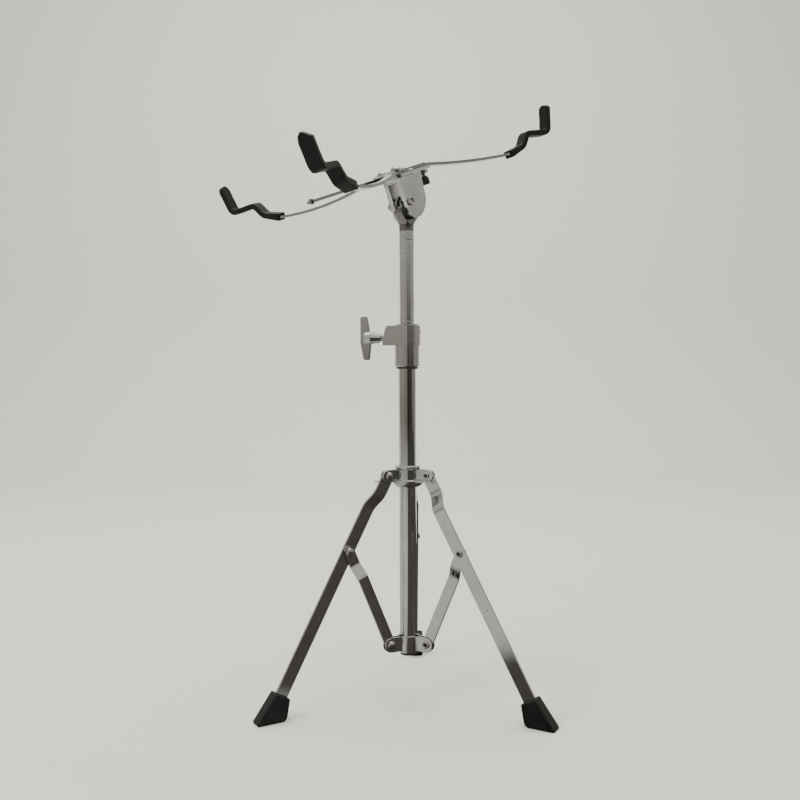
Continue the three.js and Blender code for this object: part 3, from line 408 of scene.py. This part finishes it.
# ------------------------------------------------------------------ tubular rivets
# Plated steel tubular rivets hold every pivot: a low dome on one side, and on the other the hollow end
# rolled out over the strap, with a dark hole in its middle.
rivet_steel = plating("rivet_steel", (0.47, 0.465, 0.455), 0.14, haze=0.16, ripple=0.10)


def hollow_rivet(name, half, head_radius, place):
    head = half + 0.3
    profile = [(0, -head + 4.2), (1.25, -head + 4.2), (1.45, -head + 0.4), (1.9, -head - 1.0),
               (2.6, -head - 1.55), (head_radius - 1.3, -head - 1.5), (head_radius - 0.85, -head - 0.8),
               (head_radius - 0.9, -head), (2.5, -head), (2.5, head), (head_radius, head),
               (head_radius - 0.05, head + 0.5), (head_radius * 0.86, head + 1.35),
               (head_radius * 0.60, head + 2.05), (head_radius * 0.3, head + 2.5), (0, head + 2.6)]
    return turned(name, rounded(profile, 0.35, 3), place @ Matrix.Rotation(-pi / 2, 4, "X"), steps=56)


LEG_AZIMUTH = [radians(210.47 + 120 * k) for k in range(3)]
BASE_PIVOT_R, BASE_PIVOT_Z = 23.35, 62.0
for number, azimuth in enumerate(LEG_AZIMUTH, 1):
    radial = AXIS @ Matrix.Rotation(azimuth, 4, "Z")
    pin = hollow_rivet(f"bottom_pin_{number}", 3.35, 4.8,
                       radial @ Matrix.Translation((BASE_PIVOT_R * MM, 0, BASE_PIVOT_Z * MM)))
    finish_piece(pin, [f"bottom_rivet_{number}"], "stand_column", rivet_steel)

# ------------------------------------------------------------------ collar
# The sliding collar is a turned sleeve with a rolled lip at its top and a bowl at its foot. Three pressed
# segments wrap it and carry the legs between their lugs. Each has a thin flange along its lower edge.
COLLAR_FOOT, COLLAR_TOP = 234.0, 257.0
sleeve_bore = LOWER_R + 0.4
collar_profile = [(sleeve_bore, COLLAR_FOOT + 0.4), (sleeve_bore + 0.4, COLLAR_FOOT), (12.2, COLLAR_FOOT),
                  (13.0, COLLAR_FOOT + 0.3), (14.6, 235.4), (15.7, 236.6), (16.5, 238.0), (16.9, 239.3),
                  (16.8, 239.6), (12.2, 239.6), (11.7, 240.0),
                  (11.7, 253.2), (12.4, 253.5), (13.6, 253.7), (14.0, 254.2), (14.0, 256.3), (13.8, 256.8),
                  (13.2, COLLAR_TOP), (sleeve_bore + 0.3, COLLAR_TOP), (sleeve_bore, COLLAR_TOP - 0.3)]
collar = turned("collar_tube", collar_profile, AXIS, closed=True)
finish_piece(collar, ["collar_sleeve"], "collar", pressed_chrome)
for number in (1, 2, 3):
    segment = kept_shape(f"collar_segment_{number}", f"collar_wall_{number}")
    finish_piece(segment, [f"collar_segment_{number}"], "collar", pressed_chrome, bevel=0.00035)
COLLAR_PIVOT_R, COLLAR_PIVOT_Z = 24.7, 247.0
for number, azimuth in enumerate(LEG_AZIMUTH, 1):
    radial = AXIS @ Matrix.Rotation(azimuth, 4, "Z")
    pin = hollow_rivet(f"collar_pin_{number}", 3.35, 4.3,
                       radial @ Matrix.Translation((COLLAR_PIVOT_R * MM, 0, COLLAR_PIVOT_Z * MM)))
    finish_piece(pin, [f"collar_rivet_{number}"], "collar", rivet_steel)

# ------------------------------------------------------------------ legs and braces
# Legs and braces are flat steel bars, 13.5 and 12 by 3 mm, cut to a round end, joggled past each other by a
# press and chromed. They mirror the room in long clean faces, with rubbing marks along them.
bar_chrome = plating("bar_chrome", CHROME, 0.04, grain=(1, 1, 0.08), pits=0.16, ripple=0.06)
LEG_ANGLE, LEG_TO_BRACE, BRACE_SIDE = radians(28.9), 91.0, -9.35
for number, azimuth in enumerate(LEG_AZIMUTH, 1):
    bar = kept_shape(f"leg_{number}", f"leg_bar_{number}")
    finish_piece(bar, [f"leg_{number}"], f"leg_unit_{number}", bar_chrome,
                 bevel=0.0005, segments=3)
    link = kept_shape(f"brace_{number}", f"brace_bar_{number}")
    finish_piece(link, [f"brace_{number}"], f"brace_unit_{number}", bar_chrome,
                 bevel=0.0005, segments=3)
    leg_frame = (AXIS @ Matrix.Rotation(azimuth, 4, "Z")
                 @ Matrix.Translation((COLLAR_PIVOT_R * MM, 0, COLLAR_PIVOT_Z * MM))
                 @ Matrix.Rotation(-LEG_ANGLE, 4, "Y"))
    pin = hollow_rivet(f"leg_pin_{number}", 3.15, 4.5,
                       leg_frame @ Matrix.Translation((0, BRACE_SIDE * MM, -LEG_TO_BRACE * MM)))
    finish_piece(pin, [f"leg_rivet_{number}"], f"leg_unit_{number}", rivet_steel)

# ------------------------------------------------------------------ boots
# Each leg ends in a moulded black rubber boot with a flat sole and softly rounded edges. The bar is pushed
# into its square mouth and held by the rubber's grip.
black_rubber = moulded("black_rubber", (0.0048, 0.0048, 0.0052), 0.46, grain_scale=1400.0, specular=0.28)


def rubbery(node, name, voxel, rounds):
    """A copy of a framed piece whose edges are melted round, as moulded rubber has them."""
    piece = kept_shape(node, name)
    even = piece.modifiers.new("even", "REMESH")
    even.mode = "VOXEL"
    even.voxel_size = voxel
    soft = piece.modifiers.new("soft", "SMOOTH")
    soft.factor = 0.5
    soft.iterations = rounds
    return piece


for number in (1, 2, 3):
    boot = rubbery(f"boot_{number}", f"rubber_boot_{number}", 0.0006, 4)
    finish_piece(boot, [f"boot_{number}"], f"leg_unit_{number}", black_rubber)

# ------------------------------------------------------------------ height clamp
# A zinc casting sits on the lower tube's top end: a round sleeve, a block with a slanted end for the wing
# screw and a low boss round the upper tube. It is polished and chromed, so its edges are rounded.
cast_chrome = plating("cast_chrome", (0.58, 0.585, 0.585), 0.10, haze=0.14, ripple=0.16, pits=0.10)
casting = kept_shape("clamp_casting", "clamp_body")
finish_piece(casting, ["clamp_casting"], "stand_column", cast_chrome,
             bevel=0.0006, segments=3)
bush = turned("clamp_liner", [(8.24, 404.9), (9.84, 404.9), (9.84, 411.0), (9.5, 411.3), (8.5, 411.3),
              (8.24, 411.0)], AXIS, closed=True)
finish_piece(bush, ["clamp_bush"], "stand_column", black_plastic)
ring = turned("clamp_seal", [(9.83, 362.9), (11.1, 362.9), (11.6, 363.1), (11.9, 363.6), (11.9, 365.3),
              (9.83, 365.3)], AXIS, closed=True)
finish_piece(ring, ["clamp_ring"], "stand_column", black_plastic)

# ------------------------------------------------------------------ wing screw
# An M8 screw with a cast wing: a tall blade with an upper and a lower lobe and a turned hub. The screw
# presses on the upper tube through the casting. Its thread is cut sharp and shows between hub and block.
SCREW_Z = 397.0
screw_steel = plating("screw_steel", (0.40, 0.40, 0.39), 0.22, haze=0.18, ripple=0.10)
screw_place = AXIS @ Matrix.Translation((0, 0, SCREW_Z * MM)) @ Matrix.Rotation(-pi / 2, 4, "Y")


def thread_ridges(start, stop, pitch, root, crest, flank, land):
    """The (radius, height) points of a screw's ridges from start to stop."""
    points = []
    while (at := start + pitch * (len(points) // 3)) < stop:
        points += [(root, at), (crest, at + flank), (crest, at + land)]
    return points


thread = ([(0, 8.3), (2.6, 8.3), (3.4, 9.4)] + thread_ridges(10.4, 39.0, 1.25, 3.35, 4.0, 0.55, 0.70)
          + [(3.4, 39.6), (3.0, 40.0), (0, 40.0)])
finish_piece(turned("wing_screw_thread", thread, screw_place, steps=48), ["wing_screw_shank"], "wing_screw",
             screw_steel)
wing = rubbery("wing_handle", "wing_grip_cast", 0.00035, 5)
finish_piece(wing, ["wing_handle"], "wing_grip", cast_chrome)

# ------------------------------------------------------------------ upper tube
# A 16 mm chromed tube slides in the lower one on a black bush at its foot. Years of clamping have left
# pits, brown specks and a scored ring in its plating, and a fine groove runs round it below the tilter.
worn_chrome = plating("worn_chrome", CHROME, 0.035, grain=(1, 1, 0.06), pits=0.36)
UPPER_R, UPPER_BORE, UPPER_FOOT, UPPER_TOP = 7.94, 6.74, 262.0, 513.3
upper = turned("upper_tube_skin", [(UPPER_BORE, UPPER_FOOT + 0.3), (UPPER_BORE + 0.3, UPPER_FOOT),
               (UPPER_R - 0.35, UPPER_FOOT), (UPPER_R, UPPER_FOOT + 0.35),
               (UPPER_R, 415.0), (UPPER_R - 0.06, 415.1), (UPPER_R - 0.06, 415.2), (UPPER_R, 415.3),
               (UPPER_R, 502.6), (UPPER_R - 0.15, 502.8), (UPPER_R - 0.15, 503.0), (UPPER_R, 503.2),
               (UPPER_R, UPPER_TOP - 0.35),
               (UPPER_R - 0.35, UPPER_TOP), (UPPER_BORE + 0.3, UPPER_TOP), (UPPER_BORE, UPPER_TOP - 0.3)],
               AXIS, steps=128, closed=True)
finish_piece(upper, ["upper_tube"], "mast", worn_chrome)
glide = turned("tube_glide", rounded([(0, 249.7), (7.5, 249.7), (8.19, 250.7), (8.19, 261.7), (6.44, 261.7),
               (6.44, 273.7), (0, 273.7)], 0.3), AXIS, steps=64)
finish_piece(glide, ["tube_bush"], "height_bush", black_plastic)

# ------------------------------------------------------------------ tilter
# The base is a chromed casting with a cone pressed into the tube and a ribbed tongue between the yoke's
# cheeks. The yoke hangs the basket on a cross bolt, with a nut and a small stud on its far side.
# painted shade: the tilter base's plating colour is less than half as bright as the other chrome, to stand
# in for the shade and dark reflection on its cone
cast_painted_shade = plating("cast_painted_shade", (0.24, 0.24, 0.235), 0.12, haze=0.16, ripple=0.12, pits=0.10)
base = kept_shape("tilter_base", "tilter_cone")
finish_piece(base, ["tilter_base"], "mast", cast_painted_shade, bevel=0.0004, segments=2)
yoke = kept_shape("tilter_yoke", "tilter_cheeks")
finish_piece(yoke, ["tilter_yoke"], "basket", cast_chrome, bevel=0.0012, segments=4)
BASKET_Z, BASKET_AZIMUTH, BASKET_TILT = 579.5, radians(31.6), radians(21.3)
BASKET = (AXIS @ Matrix.Translation((0, 0, BASKET_Z * MM)) @ Matrix.Rotation(BASKET_AZIMUTH, 4, "Z")
          @ Matrix.Rotation(-BASKET_TILT, 4, "Y"))
TILT_A, TILT_B, STUD_A, STUD_B, CHEEK_OUT = -18.1, -32.6, -18.4, -21.0, 17.0
cross = BASKET @ Matrix.Translation((TILT_A * MM, 0, TILT_B * MM)) @ Matrix.Rotation(-pi / 2, 4, "X")
out = CHEEK_OUT + 0.3
bolt_profile = rounded([(0, -out - 0.9), (2.3, -out - 0.9), (2.7, -out - 2.2), (3.7, -out - 2.3),
                        (4.1, -out - 1.8), (4.1, -out), (3.0, -out), (3.0, out + 6.4), (2.3, out + 7.2),
                        (0, out + 7.2)], 0.3)
finish_piece(turned("tilt_pin", bolt_profile, cross, steps=56), ["tilt_bolt"], "basket",
             rivet_steel)
nut = kept_shape("tilt_nut", "tilt_hex")
finish_piece(nut, ["tilt_nut"], "basket", screw_steel, bevel=0.0004)
stud_place = BASKET @ Matrix.Translation((STUD_A * MM, 0, STUD_B * MM)) @ Matrix.Rotation(-pi / 2, 4, "X")
stud_profile = rounded([(0, 13), (2, 13), (2, out), (2.9, out), (2.9, CHEEK_OUT + 4),
                        (2.2, CHEEK_OUT + 5.4), (0, CHEEK_OUT + 5.8)], 0.35)
finish_piece(turned("stop_stud", stud_profile, stud_place, steps=40), ["tilt_stud"], "basket",
             screw_steel)

# ------------------------------------------------------------------ basket plates
# A 3 mm plate, a thinner cover and a folded channel are screwed and riveted together. They hold the two
# swinging arms between them, and the channel guides the long arm.
plate_chrome = plating("plate_chrome", CHROME, 0.05, pits=0.10, ripple=0.05)
# painted shade: the arms and the channel get a plating colour about half as bright as the other chrome, to
# stand in for their dark undersides and the shaded channel
arm_chrome_painted_shade = plating("arm_chrome_painted_shade", (0.27, 0.27, 0.265), 0.06, grain=(1, 1, 0.08), pits=0.16, ripple=0.06)
for node, name, ease, plated in [("basket_plate", "basket_floor", 0.0005, plate_chrome),
                                 ("basket_cover", "basket_lid", 0.0004, plate_chrome),
                                 ("arm_channel", "arm_guide", 0.00035, arm_chrome_painted_shade)]:
    finish_piece(kept_shape(node, name), [node], "basket", plated, bevel=ease)
PLATE_TOP, GAP, ARM_THICK, COVER_THICK = -2.5, 0.3, 3.0, 2.0
ARM_ROOF = PLATE_TOP + GAP + ARM_THICK + GAP
COVER_TOP = ARM_ROOF + COVER_THICK
YOKE_SCREW_A, YOKE_SCREW_V, ARM_PIVOT_A, ARM_PIVOT_V = -3.5, 12.4, -23.0, 14.3
for number, side in ((1, -1), (2, 1)):
    low = PLATE_TOP + GAP
    profile = rounded([(0, -13), (1.6, -13), (2, -12.4), (2, low), (3.9, low), (3.8, low + 1.0),
                       (3.2, low + 1.9), (1.6, low + 2.35), (0, low + 2.4)], 0.3)
    place = BASKET @ Matrix.Translation((YOKE_SCREW_A * MM, side * YOKE_SCREW_V * MM, 0))
    finish_piece(turned(f"yoke_pan_screw_{number}", profile, place, steps=48), [f"yoke_screw_{number}"],
                 "basket", rivet_steel)
for node, side in (("arm_rivet_front", -1), ("arm_rivet_left", 1)):
    profile = rounded([(0, -5.4), (3, -5.4), (3, COVER_TOP + 0.3), (5.4, COVER_TOP + 0.3),
                       (5.3, COVER_TOP + 1.3), (4.3, COVER_TOP + 2.7), (2.4, COVER_TOP + 3.6),
                       (0, COVER_TOP + 3.8)], 0.35)
    place = BASKET @ Matrix.Translation((ARM_PIVOT_A * MM, side * ARM_PIVOT_V * MM, 0))
    finish_piece(turned(node + "_dome", profile, place, steps=56), [node], "basket",
                 rivet_steel)

# ------------------------------------------------------------------ thumb screw
# A small M5 screw with a knurled black knob locks the long arm from below, through a turned boss.
THUMB_A = 19.9
THUMB = BASKET @ Matrix.Translation((THUMB_A * MM, 0, 0))
boss = turned("thumb_collar", [(2.8, -9.2), (5.2, -9.2), (5.9, -8.9), (6.2, -8.2), (6.2, -6.0), (6.0, -5.8),
              (2.8, -5.8)], THUMB, steps=64, closed=True)
finish_piece(boss, ["thumb_boss"], "basket", cast_chrome)
thread = ([(0, -17), (1.8, -17)] + thread_ridges(-16.4, -3.6, 0.8, 2.1, 2.5, 0.35, 0.45)
          + [(1.8, -2.7), (0, -2.6)])
finish_piece(turned("thumb_thread", thread, THUMB, steps=40), ["thumb_screw_shank"], "thumb_screw",
             screw_steel)
knob_profile = [(2.8, -17.3), (0, -17.3), (0, -21.6), (3.2, -21.6), (4.2, -21.2), (4.55, -20.6),
                (4.55, -14.2), (4.3, -13.7), (3.6, -13.2), (3.6, -12.2), (3.4, -12.0), (2.8, -12.0)]
knob = turned("thumb_knob", knob_profile, THUMB, closed=True)
local = THUMB.inverted()
KNURLS = 24
for vertex in knob.data.vertices:
    at = local @ vertex.co
    if at.xy.length > 4.3 * MM and -20.6 * MM < at.z < -13.9 * MM:
        ridge = 1.0 + 0.03 * cos(KNURLS * atan2(at.y, at.x))
        vertex.co = THUMB @ Vector((at.x * ridge, at.y * ridge, at.z))
finish_piece(knob, ["thumb_screw_knob"], "thumb_grip", black_plastic)

# ------------------------------------------------------------------ arms
# Three flat chromed bars, 10 by 3 mm, reach out and turn up into hooks. The long one slides in the channel
# and has a riveted stop at its tail.
# the arms' darker plating is painted shade
for node, name, body in [("swing_arm_left", "left_bar", "left_arm_unit"),
                         ("swing_arm_front", "front_bar", "front_arm_unit"),
                         ("sliding_arm", "long_bar", "sliding_arm_unit")]:
    finish_piece(kept_shape(node, name), [node], body, arm_chrome_painted_shade, bevel=0.0012, segments=4)
stop_profile = rounded([(0, PLATE_TOP - 1), (2.6, PLATE_TOP - 1), (3, PLATE_TOP), (2, PLATE_TOP),
                        (2, ARM_ROOF), (3, ARM_ROOF), (2.8, ARM_ROOF + 1.2), (1.6, ARM_ROOF + 1.9),
                        (0, ARM_ROOF + 2)], 0.25)
TAIL_STOP_A = -122.6
stop_place = BASKET @ Matrix.Translation((TAIL_STOP_A * MM, 0, 0))
finish_piece(turned("tail_stop", stop_profile, stop_place, steps=48), ["slide_stop"], "sliding_arm_unit",
             rivet_steel)

# ------------------------------------------------------------------ hook sleeves
# Black rubber sleeves are pushed over the hooks. Their mouths flare a little and their edges are soft. The
# left tip is round, the front one is cut to a gable and the long one is torn, so that its bar's end shows.
for node, name, body in [("sleeve_left", "left_grip", "left_arm_unit"),
                         ("sleeve_front", "front_grip", "front_arm_unit"),
                         ("sleeve_sliding", "long_grip", "sliding_arm_unit")]:
    grip = rubbery(node, name, 0.00045, 14)
    finish_piece(grip, [node], body, black_rubber)
